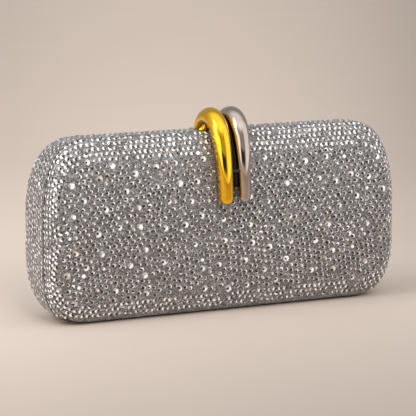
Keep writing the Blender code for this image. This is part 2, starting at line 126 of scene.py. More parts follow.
EVEN_PITCH = STONE_PITCH * 0.97
PUSH_ROUNDS, PUSH_SHARE = 5, 0.28

# Large stones
LARGE_RADIUS = 0.00195
LARGE_SIZES = (0.84, 1.08)
LARGE_HEIGHT = 0.5
LARGE_MARGIN = 0.0024
LARGE_ROOM = 0.0030
LARGE_SPACING = 0.0094
LARGE_TRIES = 6000
LARGE_ZONE = (0.985, 1)

# Cut of a stone, as rings of radius, height and start in sides, and the tones of its facets: grey, with a
# painted glint, a painted dark spot and a painted warm reflection arc
STONE_RINGS = ((1.0, -0.10, 0.0), (0.96, 0.16, 0.0), (0.74, 0.66, 0.5), (0.40, 0.93, 0.0))
STONE_TOP = np.array([0.15, 0.35, 1.0])
TILT, SWING = 0.05, 0.34
PAINTED_SPOT_TONE, PAINTED_ARC_WARM_TONE, GREY, PAINTED_ARC_PALE_TONE, PAINTED_WHITE_TONE, PAINTED_GLINT_TONE = 0.03, 0.27, 0.47, 0.62, 0.93, 0.95
GREY_SPREAD = 0.09
PAINTED_ARC_LOW, PAINTED_ARC_LEFT, PAINTED_ARC_WARM_SHARE = 0.30, -0.55, 0.65
PAINTED_GLINT = {"u": 0.36, "v": -0.18, "reach": 0.60, "clearer": 0.10, "sizes": (0.8, 1.15)}
PAINTED_DARK_SPOT = {"u": -0.40, "v": 0.06, "reach": 0.56, "clearer": -0.18, "sizes": (0.8, 1.1)}
SPOTLESS_SHARE, DULL_SHARE, PAINTED_WHITE_FROM = 0.10, 0.09, 0.95
DULLED, DULLED_FROM, PAINTED_WHITENED_FROM = 0.25, 0.4, 0.2

# Hoops and web
CREST_RADIUS = 0.0051
CLASP_MIDDLE = 0.0002
HALF_ROOM = 0.0007
HOOP_CLEARANCE = 0.0006
CREST_LIFT = 0.0003
ARCH_REACH = 0.0098
ARCH_RISE = 0.0098
APEX_HEIGHT = CASE_HEIGHT + HOOP_CLEARANCE + CREST_LIFT + CREST_RADIUS
HOOP_FOOT = CASE_HEIGHT - 0.0012 + 0.0003
LEG_END_ANGLE = math.radians(74.3)
GOLD_HOOP = {"sign": -1, "tip_radius": 0.00365, "tip_room": 0.0009}
GUNMETAL_HOOP = {"sign": 1, "tip_radius": 0.0030, "tip_room": 0.0016}
ARCH_STEPS, LEG_STEPS = 200, 400
FOOT_RING = 0.0024
HOOP_RINGS, HOOP_SIDES, TIP_RINGS = 110, 56, 14
MAGNET_SEAT_RADIUS = 0.0028
MAGNET_SEAT_DEPTH = 0.0023
WEB_END_ANGLE = math.radians(68)
WEB_HALF_WIDTH = 0.0021
WEB_SINK = 0.65
WEB_CLEARANCE = 0.00025
WEB_SIDES, WEB_ROUNDING = 28, 0.35
BARE_SHARE, BARE_MARGIN = 0.50, 0.8
BARE_ANGLE = LEG_END_ANGLE + 0.03
WEB_BARE_WIDTH = 0.0008
WEB_BARE_ANGLE = math.radians(60)

# Inside
LINING_INSET = 0.0054
LINING_WALL = 0.0009
LINING_MOUTH = 0.0013
LINING_STEP, LINING_ROWS = 0.0020, 30
LEAF_HALF_LENGTH = 0.0603
LEAF_CLEAR = 0.0032
LEAF_TOP = CENTRE_HEIGHT / 4
TUCK_HEIGHT = 0.00016
FINE_TUCKS, BROAD_TUCKS, TUCK_DRIFT = 900, 210, 140
POCKET_COLUMNS, POCKET_ROWS = 110, 36
POCKET_WALL = 0.0004
POCKET_BACK = 0.0006
POCKET_TOP_ROOM, POCKET_DIP = 0.0010, 0.0016
POCKET_BULGE = 0.0010
FOLD_HEIGHT, FOLD_TURNS = 0.00030, 62
CORD_RADIUS, CORD_SIDES, CORD_END_RINGS = 0.0008, 12, 5
CORD_SHIFT = (0, 0.0002, 0.0002)

# Metals: colour, dulled colour, roughness, smudged roughness and depth of the scratches
METALS = {
    "polished_gold": ((0.97, 0.55, 0.018), (0.90, 0.48, 0.016), 0.05, 0.11, 0.00001),
    "polished_gunmetal": ((0.50, 0.416, 0.358), (0.44, 0.366, 0.31), 0.06, 0.13, 0.00001),
    "frame_gunmetal": ((0.030, 0.028, 0.028), (0.022, 0.021, 0.021), 0.28, 0.42, 0.00002),
    "nickel_steel": ((0.58, 0.575, 0.56), (0.48, 0.475, 0.46), 0.22, 0.40, 0.00002)}

# Studio: ways over the floor, painted shades of the floor by distance, lamps, and panels of the surround
AWAY, TOWARDS, ASIDE = (0.428, 0.904, 0), (-0.428, -0.904, 0), (0.904, -0.428, 0)
FLOOR_NEAR, FLOOR_FAR = -0.25, 2.0
FLOOR_PAINTED_SHADES = [(0.0, (0.40, 0.335, 0.288)), (0.06, (0.51, 0.429, 0.370)), (0.11, (0.608, 0.511, 0.443)),
                (0.30, (0.635, 0.527, 0.450)), (1.0, (0.63, 0.522, 0.442))]
VIEW_START, VIEW_LEAST, VIEW_SLANT = 1.15, 0.5, 0.09
SIDE_FALL_REACH, SIDE_PAINTED_SHADE, RIGHT_PAINTED_SHADE = 0.5, 0.20, 0.10
LAMP_REACH = 1.6
LAMPS = (("left_softbox", 80.3, 38, (0.62, 0.95), 9.5), ("front_fill", 6, 34, (0.6, 0.5), 8.0))
SURROUND_SHADES = [(0.0, (0.78, 0.70, 0.63)), (0.25, (0.64, 0.60, 0.57)), (0.5, (0.60, 0.59, 0.58)),
                   (0.78, (0.90, 0.92, 0.95)), (1.0, (1.10, 1.13, 1.18))]
BEHIND_SHADE = (0.34, 0.33, 0.325)
SURROUND_STRENGTH = 1.25
PANELS = (
    ((0.85, 1.80, 0.20), (-0.10, 0.55, 0.20), (1.15, 1.12, 1.10)),
    ((-0.30, 1.20, 0.30), (0.70, 0.86, 0.10), (1.25, 1.26, 1.28)),
    ((-1.30, -0.42, 0.12), (0.05, 0.36, 0.08), (1.60, 1.58, 1.56)),
    ((-0.20, 0.62, 0.22), (0.10, 0.50, 0.12), (0.36, 0.35, 0.34)),
    ((-0.34, 0.42, 0.14), (0.05, 0.17, 0.04), (0.02, 0.018, 0.016)))

chance = np.random.default_rng(11)


def linked(name, data):
    """A new object in the scene."""
    thing = bpy.data.objects.new(name, data)
    bpy.context.collection.objects.link(thing)
    return thing


def facing(turn, pitch):
    """The way ahead, turned to the right from the back and pitched down, in degrees."""
    turn, pitch = math.radians(turn), math.radians(pitch)
    return Vector((math.sin(turn) * math.cos(pitch), math.cos(turn) * math.cos(pitch), -math.sin(pitch)))


def studio_camera():
    """The photograph's view: from the front left and a little above, through a long lens."""
    turn, ahead = math.radians(CAMERA_TURN), facing(CAMERA_TURN, CAMERA_PITCH)
    right = Vector((math.cos(turn), -math.sin(turn), 0))
    up = right.cross(ahead)
    aim = Vector((0, PARTING, CASE_HEIGHT / 2)) + right * AIM_RIGHT + up * AIM_UP
    data = bpy.data.cameras.new("studio_camera")
    data.sensor_width = SENSOR_WIDTH
    data.lens = FOCAL_DOTS / PICTURE_DOTS * SENSOR_WIDTH
    data.clip_start, data.clip_end = 0.05, 20
    camera = linked("studio_camera", data)
    turned = Matrix((right, up, -ahead)).transposed().to_4x4()
    camera.matrix_world = Matrix.Translation(aim - ahead * CAMERA_REACH) @ turned
    bpy.context.scene.camera = camera


def put(tree, kind, inputs=None, **settings):
    """A shader node with its settings, and its inputs set to values or joined to sockets."""
    made = tree.nodes.new("ShaderNode" + kind)
    for name, value in settings.items():
        setattr(made, name, value)
    for name, value in (inputs or {}).items():
        if isinstance(value, bpy.types.NodeSocket):
            tree.links.new(value, made.inputs[name])
        else:
            made.inputs[name].default_value = value
    return made


def ramp(tree, factor, stops):
    """A colour ramp over its stops of place and colour."""
    made = put(tree, "ValToRGB", {"Fac": factor})
    elements = made.color_ramp.elements
    while len(elements) < len(stops):
        elements.new(0.5)
    for element, (place, colour) in zip(elements, stops):
        element.position = place
        element.color = (*colour, 1)
    return made.outputs["Color"]


def math_node(tree, operation, first, second):
    """The result of a maths operation on two values or sockets."""
    return put(tree, "Math", {0: first, 1: second}, operation=operation).outputs[0]


def remap(tree, value, low, high, start=0.0, end=1.0):
    """A value taken from low..high to start..end, and held within them."""
    return put(tree, "MapRange", {"Value": value, "From Min": low, "From Max": high,
                                  "To Min": start, "To Max": end}).outputs[0]


def noise(tree, place, scale, detail, **others):
    """Noise at a place."""
    return put(tree, "TexNoise", {"Vector": place, "Scale": scale, "Detail": detail, **others}).outputs["Fac"]


def object_place(tree):
    """The place of a point in its object."""
    return put(tree, "TexCoord").outputs["Object"]


def reach_along(tree, place, way):
    """How far a place lies along a way."""
    return put(tree, "VectorMath", {0: place, 1: way}, operation="DOT_PRODUCT").outputs["Value"]


def blend(tree, factor, *colours):
    """Two colours mixed by a factor; each is a socket, or its red, green and blue."""
    first, second = [colour if isinstance(colour, bpy.types.NodeSocket) else (*colour, 1) for colour in colours]
    return put(tree, "Mix", {"Factor": factor, "A": first, "B": second}, data_type="RGBA").outputs["Result"]


def finish(name, shader_inputs):
    """A new material with its Principled shader set up; returns the material, its tree and shader."""
    material = bpy.data.materials.new(name)
    material.use_nodes = True
    shader = material.node_tree.nodes["Principled BSDF"]
    for key, value in shader_inputs.items():
        shader.inputs[key].default_value = value
    return material, material.node_tree, shader


def paint(tree, shader, colour):
    """Base colour from a socket."""
    tree.links.new(colour, shader.inputs["Base Color"])


def roughen(tree, shader, value, low, high):
    """Roughness from low to high as a value goes from 0 to 1."""
    tree.links.new(remap(tree, value, 0.0, 1.0, low, high), shader.inputs["Roughness"])


def emboss(tree, shader, height, strength, distance, **settings):
    """Bump from a height."""
    bump = put(tree, "Bump", {"Height": height, "Strength": strength, "Distance": distance}, **settings)
    tree.links.new(bump.outputs["Normal"], shader.inputs["Normal"])


def group(name, inputs, outputs):
    """An empty shader group with named float inputs and outputs, and its in and out sockets."""
    tree = bpy.data.node_groups.new(name, "ShaderNodeTree")
    for label, value in inputs.items():
        socket = tree.interface.new_socket(label, in_out="INPUT", socket_type="NodeSocketFloat")
        socket.default_value = value
    for label in outputs:
        tree.interface.new_socket(label, in_out="OUTPUT", socket_type="NodeSocketFloat")
    return tree, tree.nodes.new("NodeGroupInput").outputs, tree.nodes.new("NodeGroupOutput").inputs


def handling_marks():
    """Wear of handled metal: broad smudges, and hair scratches in two directions."""
    tree, given, wanted = group("handling_marks", {"Smudge Scale": 90.0, "Scratch Scale": 900.0},
                                ("Smudge", "Scratch"))
    place = object_place(tree)
    smudge = noise(tree, place, given["Smudge Scale"], 5.0, Roughness=0.62)
    hairs = []
    for stretch, turn in (((1.0, 0.06, 1.0), (0.3, 0.0, 0.5)), ((1.0, 1.0, 0.05), (0.0, 0.2, -0.4))):
        lean = put(tree, "Mapping", {"Vector": place, "Rotation": turn, "Scale": stretch}).outputs[0]
        hairs.append(remap(tree, noise(tree, lean, given["Scratch Scale"], 2.0), 0.60, 0.78))
    tree.links.new(remap(tree, smudge, 0.38, 0.72), wanted["Smudge"])
    tree.links.new(math_node(tree, "MAXIMUM", *hairs), wanted["Scratch"])
    return tree


def satin_weave():
    """Satin cloth: fine crossed threads as a height, and long soft streaks as painted sheen and shade."""
    tree, given, wanted = group("satin_weave", {"Thread Scale": 800.0}, ("Threads", "Streaks"))
    place = object_place(tree)
    bands = [put(tree, "TexWave", {"Vector": place, "Scale": given["Thread Scale"], "Distortion": 0.6,
                                   "Detail": 1.0}, bands_direction=way).outputs["Fac"] for way in "XZ"]
    lean = put(tree, "Mapping", {"Vector": place, "Scale": (1.0, 1.0, 0.15)}).outputs[0]
    tree.links.new(math_node(tree, "MULTIPLY", *bands), wanted["Threads"])
    tree.links.new(noise(tree, lean, 260.0, 4.0), wanted["Streaks"])
    return tree


def glitter_cloth():
    """Grey cloth packed with glitter: every flake is a small cell with its own shade and tilt."""
    material, tree, shader = finish("glitter_cloth", {
        "Metallic": 0.25, "Roughness": 0.42, "Sheen Weight": 0.12, "Sheen Roughness": 0.4,
        "Sheen Tint": (0.86, 0.93, 1.0, 1.0)})
    place = object_place(tree)
    flakes = put(tree, "TexVoronoi", {"Vector": place, "Scale": 2300.0, "Randomness": 1.0})
    shade = put(tree, "SeparateColor", {"Color": flakes.outputs["Color"]}).outputs
    mixed = math_node(tree, "ADD", math_node(tree, "MULTIPLY", shade["Red"], 0.62),
                      math_node(tree, "MULTIPLY", noise(tree, place, 420.0, 3.0), 0.45))
    colour = ramp(tree, mixed, [(0.10, (0.036, 0.034, 0.032)), (0.42, (0.116, 0.109, 0.106)),
                                (0.66, (0.212, 0.203, 0.199)), (0.88, (0.60, 0.585, 0.58))])
    paint(tree, shader, colour)
    roughen(tree, shader, shade["Green"], 0.25, 0.60)
    emboss(tree, shader, shade["Blue"], 0.5, 0.00025)
    return material


def cut_crystal():
    """Foil-backed cut crystal: a facet's tone runs from a painted dark spot through a painted warm reflection
    and grey to a painted clear white glint.
    """
    material, tree, shader = finish("cut_crystal", {"Metallic": 0.2, "Roughness": 0.10,
                                                    "Coat Weight": 0.45, "Coat Roughness": 0.04})
    tone = put(tree, "Attribute", attribute_name="tone").outputs["Fac"]
    # Stops: painted dark spot, its edge, painted warm reflection, grey, pale, painted white glint
    colour = ramp(tree, tone, [(0.00, (0.006, 0.005, 0.005)), (0.12, (0.040, 0.028, 0.021)),
                               (0.27, (0.52, 0.40, 0.32)), (0.45, (0.19, 0.184, 0.181)),
                               (0.66, (0.50, 0.50, 0.51)), (0.88, (1.0, 1.0, 1.0))])
    paint(tree, shader, colour)
    roughen(tree, shader, noise(tree, object_place(tree), 1500.0, 2.0), 0.05, 0.20)
    return material


def worn_metal(marks, name, colour, dull, roughness, smudged, scratch_depth):
    """Metal whose colour dulls and whose polish softens where it was handled, with hair scratches."""
    material, tree, shader = finish(name, {"Metallic": 1.0, "Roughness": roughness,
                                           "Coat Weight": 0.35, "Coat Roughness": 0.05})
    worn = put(tree, "Group", node_tree=marks).outputs
    paint(tree, shader, blend(tree, worn["Smudge"], colour, dull))
    roughen(tree, shader, worn["Smudge"], roughness, smudged)
    emboss(tree, shader, worn["Scratch"], 0.25, scratch_depth, invert=True)
    return material


def black_enamel(marks):
    """Hard black enamel with rubbed patches."""
    material, tree, shader = finish("black_enamel", {"Specular IOR Level": 0.12})
    smudge = put(tree, "Group", node_tree=marks).outputs["Smudge"]
    paint(tree, shader, blend(tree, smudge, (0.003, 0.003, 0.003), (0.008, 0.0075, 0.007)))
    roughen(tree, shader, smudge, 0.22, 0.42)
    return material


def lining_satin(weave):
    """Satin: threads as bump, long streaks as painted sheen and shade and as roughness, and the soft sheen of
    silk.
    """
    material, tree, shader = finish("lining_satin", {
        "Roughness": 0.42, "Sheen Weight": 0.35, "Sheen Roughness": 0.35, "Specular IOR Level": 0.6})
    cloth = put(tree, "Group", node_tree=weave).outputs
    # The colour runs from a painted shade to a painted sheen along the streaks
    paint(tree, shader, blend(tree, cloth["Streaks"], (0.30, 0.285, 0.295), (0.42, 0.40, 0.41)))
    roughen(tree, shader, cloth["Streaks"], 0.32, 0.56)
    emboss(tree, shader, cloth["Threads"], 0.35, 0.00008)
    return material


def shell_board():
    """Pressed fibre board: dark grey with short pale fibres and a dry, slightly pitted face."""
    material, tree, shader = finish("shell_board", {"Roughness": 0.8})
    lean = put(tree, "Mapping", {"Vector": object_place(tree), "Rotation": (0.2, 0.4, 0.9),
                                 "Scale": (1.0, 0.18, 1.0)}).outputs[0]
    fibres = noise(tree, lean, 1100.0, 4.0)
    colour = ramp(tree, fibres, [(0.35, (0.035, 0.034, 0.036)), (0.62, (0.070, 0.068, 0.070)),
                                 (0.72, (0.16, 0.155, 0.15))])
    paint(tree, shader, colour)
    emboss(tree, shader, fibres, 0.5, 0.0001)
    return material


def new_piece(name, points, faces, material, smooth=True):
    """A mesh piece from whole arrays: points (n, 3) and faces (m, 3) or (m, 4)."""
    mesh = bpy.data.meshes.new(name)
    count, sides = faces.shape
    mesh.vertices.add(len(points))
    mesh.vertices.foreach_set("co", np.ascontiguousarray(points, dtype=np.float32).ravel())
    mesh.loops.add(count * sides)
    mesh.loops.foreach_set("vertex_index", np.ascontiguousarray(faces, dtype=np.int32).ravel())
    mesh.polygons.add(count)
    mesh.polygons.foreach_set("loop_start", np.arange(count, dtype=np.int32) * sides)
    mesh.polygons.foreach_set("loop_total", np.full(count, sides, dtype=np.int32))
    mesh.polygons.foreach_set("use_smooth", np.full(count, smooth))
    mesh.update(calc_edges=True)
    mesh.materials.append(material)
    return linked(name, mesh)


def point_outwards(piece):
    """Merge the doubled points at poles, and turn all faces of a closed piece outwards."""
    shape = bmesh.new()
    shape.from_mesh(piece.data)
    bmesh.ops.remove_doubles(shape, verts=shape.verts, dist=WELD)
    bmesh.ops.recalc_face_normals(shape, faces=shape.faces)
    shape.to_mesh(piece.data)
    shape.free()
    return piece


def grid_piece(name, grid, material, wrap_rows=False):
    """A closed piece over a grid of points, which closes round its columns, and round its rows too
    if asked."""
    rows, columns = grid.shape[:2]
    row = np.arange(rows if wrap_rows else rows - 1)[:, None]
    column = np.arange(columns)[None, :]
    after_row, after_column = (row + 1) % rows, (column + 1) % columns
    corners = (row * columns + column, row * columns + after_column,
               after_row * columns + after_column, after_row * columns + column)
    faces = np.stack(np.broadcast_arrays(*corners), axis=-1).reshape(-1, 4)
    return point_outwards(new_piece(name, grid.reshape(-1, 3), faces, material))


def unit(ways):
    """Ways brought to length 1."""
    return ways / np.maximum(np.linalg.norm(ways, axis=-1, keepdims=True), 1e-12)


def run_along(line):
    """The distance along a line at each of its points."""
    return np.concatenate([[0], np.cumsum(np.linalg.norm(np.diff(line, axis=0), axis=1))])


def resample(line, run, stops):
    """The line's points at stops along its run."""
    return np.stack([np.interp(stops, run, column) for column in line.T], axis=1)


def turned(x, y, angle):
    """X and Y turned by an angle."""
    return x * np.cos(angle) - y * np.sin(angle), x * np.sin(angle) + y * np.cos(angle)


def round_over(share, power):
    """How far an edge has fallen at a share of its depth: 1 - (1 - share^power)^(1/power)."""
    return 1 - np.maximum(1 - share ** power, 0) ** (1 / power)


def spans(side, inset, share):
    """Half width, half height, corner run and the top and bottom corner rise of the outline at a
    share of the half's depth; the rises shrink with the height."""
    half_width = HALF_WIDTH - inset - (side["end_round"] - inset) * round_over(share, side["end_power"])
    full = HALF_HEIGHT - inset
    half_height = full - (side["face_round"] - inset) * round_over(share, side["face_power"])
    squeeze = half_height / full
    rises = [(rise - inset) * squeeze for rise in (TOP_RISE, BOTTOM_RISE)]
    return half_width, half_height, CORNER_RUN - inset, *rises


def outline_stations():
    """The outline as shares: X = a*(half width - run) + b*run, and Z = c*(half height - top rise)
    + d*top rise - e*(half height - bottom rise) - f*bottom rise, anticlockwise from the right end.
    Corners follow cos^(2/power) and sin^(2/power). Returns the six shares, densely spaced."""
    turn = np.linspace(0, math.pi / 2, OUTLINE_STEPS)
    out, up = np.abs(np.cos(turn)) ** (2 / CORNER_POWER), np.sin(turn) ** (2 / CORNER_POWER)
    one, none = np.ones_like(turn), np.zeros_like(turn)
    along, side = np.linspace(1, -1, OUTLINE_STEPS), np.linspace(0, 1, OUTLINE_STEPS)
    pieces = [
        (one, out, one, up, none, none),
        (along, none, one, one, none, none),
        (-one, -out[::-1], one, up[::-1], none, none),
        (-one, -one, 1 - side, none, side, none),
        (-one, -out, none, none, one, up),
        (-along, none, none, none, one, one),
        (one, out[::-1], none, none, one, up[::-1]),
        (one, one, side, none, 1 - side, none)]
    return np.concatenate([np.stack(piece, axis=1)[:-1] for piece in pieces])


def skin(side, inset, angle, stations):
    """Points of a half's skin, rows by depth angle and columns by outline station:
    Y = sign * (depth - inset) * sin(angle), with the outline of that depth in X and Z, and Z is
    never under the inset, which makes the flat base."""
    share = np.sin(angle)
    half_width, half_height, run, top, bottom = spans(side, inset, share)
    a, b, c, d, e, f = stations.T
    x = a * (half_width - run) + b * run
    z = c * (half_height - top) + d * top - e * (half_height - bottom) - f * bottom + CENTRE_HEIGHT
    y = PARTING + side["sign"] * (side["depth"] - inset) * share
    return np.stack(np.broadcast_arrays(x, y, np.maximum(z, inset)), axis=-1)


DENSE = outline_stations()


def even_stations(step, extra=()):
    """Outline stations about a step apart at the mouth, plus those at the extra X places on top."""
    ring = skin(REAR, 0.0, np.zeros((1, 1)), DENSE)[0]
    reach = run_along(np.concatenate([ring, ring[:1]]))
    places = np.linspace(0, reach[-1], int(reach[-1] / step), endpoint=False)
    if len(extra):
        crest = np.flatnonzero((DENSE[:, 3] == 1) & (DENSE[:, 1] == 0))
        order = crest[np.argsort(ring[crest, 0])]
        stops = np.interp(extra, ring[order, 0], reach[order])
        clear = np.min(np.abs(places[:, None] - stops), axis=1) > step / 4
        places = np.sort(np.concatenate([places[clear], stops]))
    return resample(np.concatenate([DENSE, DENSE[:1]]), reach, places)


def shell_piece(name, side, inset, wall, mouth, opening, stations, rows, material, ripple=None, roll=None):
    """A closed thin shell: rows of the outer skin from the mouth to the face, shrinking outlines
    over the flat face to its middle, and the same way back on the inner skin. It starts further back
    where an opening is kept clear. Roll, if given, draws both skins in at each distance from the
    mouth, and ripple moves the inner skin alone."""
    ring = skin(side, inset, np.zeros((1, 1)), stations)[0]
    start = np.maximum(mouth, opening(ring[:, 0], ring[:, 2]))
    near = MOUTH_STEPS / side["depth"] / (math.pi / 2)
    share = np.concatenate([near, np.linspace(near[-1], 1, rows)[1:]])[:, None]
    layers = []
    for depth in (inset, inset + wall):
        reach = side["depth"] - depth
        first = np.arcsin(start / reach)
        angle = first + (math.pi / 2 - first) * share
        amount = np.full_like(angle, depth)
        if roll is not None:
            amount = amount + roll(reach * np.sin(angle) - start)
        if ripple is not None and depth > inset:
            amount = amount + ripple(skin(side, depth, angle, stations), share)
        body = skin(side, amount, angle, stations)
        body[..., 1] = PARTING + side["sign"] * reach * np.sin(angle)
        middle = np.array([0, body[-1, 0, 1], body[-1, :, 2].mean()])
        layers.append(np.concatenate([body, middle + (body[-1] - middle) * FACE_SHRINK[:, None, None]]))
    grid = np.concatenate([layers[0], layers[1][::-1]])
    return grid_piece(name, grid, material, wrap_rows=True)


def turned_edge(distance):
    """How far the cloth is drawn in where it turns into the mouth: ROLL_DEPTH * (1 - d/width)^2."""
    return ROLL_DEPTH * np.clip(1 - distance / ROLL_WIDTH, 0, 1) ** 2


def cloth_opening(side):
    """The hinge groove along the bottom, and the striker's saddle on the crest of the rear half."""
    def opening(x, z):
        groove = np.sqrt(np.maximum(GROOVE_RADIUS ** 2 - (HINGE_HEIGHT - z) ** 2, 0))
        groove = np.where((np.abs(x) < GROOVE_END) & (z < HINGE_HEIGHT), groove, 0)
        saddle = (side is REAR) & (np.abs(x) <= SADDLE_HALF + HAIR) & (z > CENTRE_HEIGHT)
        return np.where(saddle, SADDLE_END, groove)
    return opening


def leaf_opening(x, z):
    """The hinge leaf stands inside the mouth, over the middle of the bottom."""
    return np.where((np.abs(x) < LEAF_HALF_LENGTH) & (z < LEAF_TOP), LEAF_CLEAR, 0)


def tucks(place, share):
    """Small gathers of the lining: two waves along X multiplied, whose height fades towards the
    middle of the face."""
    fine = np.sin(place[..., 0] * FINE_TUCKS + 3 * np.sin(place[..., 2] * TUCK_DRIFT))
    wave = fine * np.sin(place[..., 0] * BROAD_TUCKS + 1)
    return TUCK_HEIGHT * (wave + 1) * np.clip(1.2 - share, 0.15, 1)


def skin_depth(side, x, z):
    """The share of the depth at which the outline passes through X and Z, halved down to it:
    a point is inside where ((|X| - W)/run)^power + ((|Z| - H)/rise)^power <= 1 past the corner's
    start, and inside the last outline it lies on the flat face."""
    low, high = np.zeros_like(x), np.ones_like(x)
    for _ in range(HALVINGS):
        share = (low + high) / 2
        half_width, half_height, run, top, bottom = spans(side, CLOTH_INSET, share)
        rise = np.where(z > CENTRE_HEIGHT, top, bottom)
        across = np.maximum((np.abs(x) - half_width + run) / run, 0)
        up = np.maximum((np.abs(z - CENTRE_HEIGHT) - half_height + rise) / rise, 0)
        inside = across ** CORNER_POWER + up ** CORNER_POWER <= 1
        low, high = np.where(inside, share, low), np.where(inside, high, share)
    return low


def face_places(side, x, z):
    """Points of the cloth at X and Z, and the way out there from the slopes of the depth."""
    reach = side["depth"] - CLOTH_INSET
    step = SLOPE_STEP
    depth = skin_depth(side, x, z) * reach
    slope_x = (skin_depth(side, x + step, z) - skin_depth(side, x - step, z)) * reach / (2 * step)
    slope_z = (skin_depth(side, x, z + step) - skin_depth(side, x, z - step)) * reach / (2 * step)
    out = np.stack([-slope_x, np.full_like(x, side["sign"]), -slope_z], axis=1)
    return np.stack([x, PARTING + side["sign"] * depth, z], axis=1), unit(out)


def seam_rows(side, distances, pitch):
    """Rows parallel to the seam: on each meridian the place at a distance along the skin, then steps
    of the pitch along the row, every other row half a step on. Returns places, ways out and the last
    row as a closed line in X and Z."""
    fine = even_stations(FINE_STEP)
    angle = np.linspace(math.asin(HALF_SEAM / side["depth"]), math.pi / 2, FINE_ANGLES)[:, None]
    grid = skin(side, CLOTH_INSET, angle, fine)
    along = np.roll(grid, -1, axis=1) - np.roll(grid, 1, axis=1)
    down = np.gradient(grid, axis=0)
    both = np.concatenate([grid, unit(np.cross(along, down) * side["sign"])], axis=2)
    leap = np.linalg.norm(np.diff(grid, axis=0), axis=2)
    reach = np.concatenate([np.zeros((1, len(fine))), np.cumsum(leap, axis=0)])
    columns = np.arange(len(fine))
    found = []
    for count, distance in enumerate(distances):
        after = np.clip((reach < distance).sum(axis=0), 1, len(grid) - 1)
        before = after - 1
        part = (distance - reach[before, columns]) / (reach[after, columns] - reach[before, columns])
        part = np.clip(part, 0, 1)[:, None]
        line = both[before, columns] * (1 - part) + both[after, columns] * part
        closed = np.concatenate([line, line[:1]])
        run = run_along(closed[:, :3])
        steps = int(run[-1] / pitch)
        stops = (np.arange(steps) + 0.5 * (count % 2)) * run[-1] / steps
        found.append(resample(closed, run, stops))
    found = np.concatenate(found)
    return found[:, :3], found[:, 3:], line[:, [0, 2]]


def within(x, z, line):
    """Which points lie inside a closed line, by the crossings of a ray to the right."""
    x1, z1 = line[:, 0][None, :], line[:, 1][None, :]
    x2, z2 = np.roll(x1, -1), np.roll(z1, -1)
    crosses = (z1 > z[:, None]) != (z2 > z[:, None])
    at = x1 + (z[:, None] - z1) / np.where(z2 == z1, 1, z2 - z1) * (x2 - x1)
    return (np.sum(crosses & (x[:, None] < at), axis=1) % 2) == 1


def far_from(places, others, distance):
    """Which places are at least a distance from all the others."""
    return np.linalg.norm(places[:, None, :] - others[None, :, :], axis=2).min(axis=1) >= distance


def slanting_rows(lean, along, across, bend):
    """A field of places in X and Z: rows that lean by an angle, with one pitch along them and
    another across, every other row half a pitch on, bent by slow sines of the other coordinate."""
    count = int(FIELD_REACH / along)
    i, j = np.meshgrid(np.arange(-count, count), np.arange(-count, count))
    x, z = (i + 0.5 * (j % 2)).ravel() * along, j.ravel() * across
    x, z = turned(x, z, lean)
    x, z = x + bend * np.sin(z / BEND_OVER_Z + 0.7), z + bend * np.sin(x / BEND_OVER_X)
    return np.stack([x, z + CENTRE_HEIGHT], axis=1)


def spread_out(places, fixed):
    """Places that push each other, and are pushed by the fixed ones, until most are a pitch apart."""
    for _ in range(PUSH_ROUNDS):
        others = np.concatenate([places, fixed])
        leap = places[:, None, :] - others[None, :, :]
        apart = np.linalg.norm(leap, axis=2)
        push = np.clip(EVEN_PITCH - apart, 0, None) * (apart > 0) / np.maximum(apart, 1e-9)
        places = places + PUSH_SHARE * (leap * push[..., None]).sum(axis=1)
    return places


def face_field(line, rim, uneven):
    """Places of the small stones over a face: steep rows above, flatter rows below with a wavy
    border between them, more uneven to the left of the clasp, pushed an even distance apart."""
    upper, lower = slanting_rows(**UPPER_ROWS), slanting_rows(**LOWER_ROWS)
    borders = [BORDER_HEIGHT + BORDER_WAVE * np.sin(rows[:, 0] / BORDER_LENGTH + 1.0)
               for rows in (upper, lower)]
    field = np.concatenate([upper[upper[:, 1] > borders[0]], lower[lower[:, 1] < borders[1]]])
    field = field[within(field[:, 0], field[:, 1], line)]
    loose = np.exp(-((field[:, :1] - UNEVEN_MIDDLE) / UNEVEN_WIDTH) ** 2)
    field = field + chance.normal(0, 1, field.shape) * (EVEN_JITTER + uneven * loose)
    field = field[far_from(field, rim, RIM_ROOM)]
    kept = np.ones(len(field), bool)
    gaps = np.linalg.norm(field[:, None] - field[None], axis=2)
    for i in chance.permutation(len(field)):
        if kept[i]:
            kept &= ~((gaps[i] < CROWDED) & (np.arange(len(field)) != i))
    return spread_out(field[kept], rim)


def scattered(line, count):
    """Places of large stones in X and Z: they fall at random inside a closed line and keep a distance."""
    found = np.empty((0, 2))
    for x, z in chance.uniform((-HALF_WIDTH, 0), (HALF_WIDTH, CASE_HEIGHT), (LARGE_TRIES, 2)):
        if len(found) < count and within(np.array([x]), np.array([z]), line)[0]:
            if not len(found) or np.hypot(*(found - (x, z)).T).min() > LARGE_SPACING:
                found = np.concatenate([found, [(x, z)]])
    return found


def clear_of_fittings(side, places, margin):
    """Which places keep clear of the hinge groove, and of the striker's saddle behind or the hoops'
    legs and the web in front."""
    x, y, z = places[:, 0], (places[:, 1] - PARTING) * side["sign"], places[:, 2]
    groove = (np.abs(x) < GROOVE_END + margin) & (np.hypot(y, z - HINGE_HEIGHT) < GROOVE_RADIUS + margin)
    if side is REAR:
        over = (np.abs(x) < SADDLE_HALF + margin) & (y < SADDLE_END + margin)
        return ~(groove | (over & (z > SADDLE_LOWEST)))
    turn = np.arccos(np.clip(1 - (CASE_HEIGHT - z) / FRONT["face_round"], -1, 1))
    under = (np.abs(x - CLASP_MIDDLE) < WEB_BARE_WIDTH + margin) & (turn < WEB_BARE_ANGLE)
    for hoop in (GOLD_HOOP, GUNMETAL_HOOP):
        reach = hoop_radius(hoop, turn) * BARE_SHARE + margin * BARE_MARGIN
        under |= (np.abs(x - hoop_middle(hoop, turn)) < reach) & (turn < BARE_ANGLE)
    return ~(groove | under)


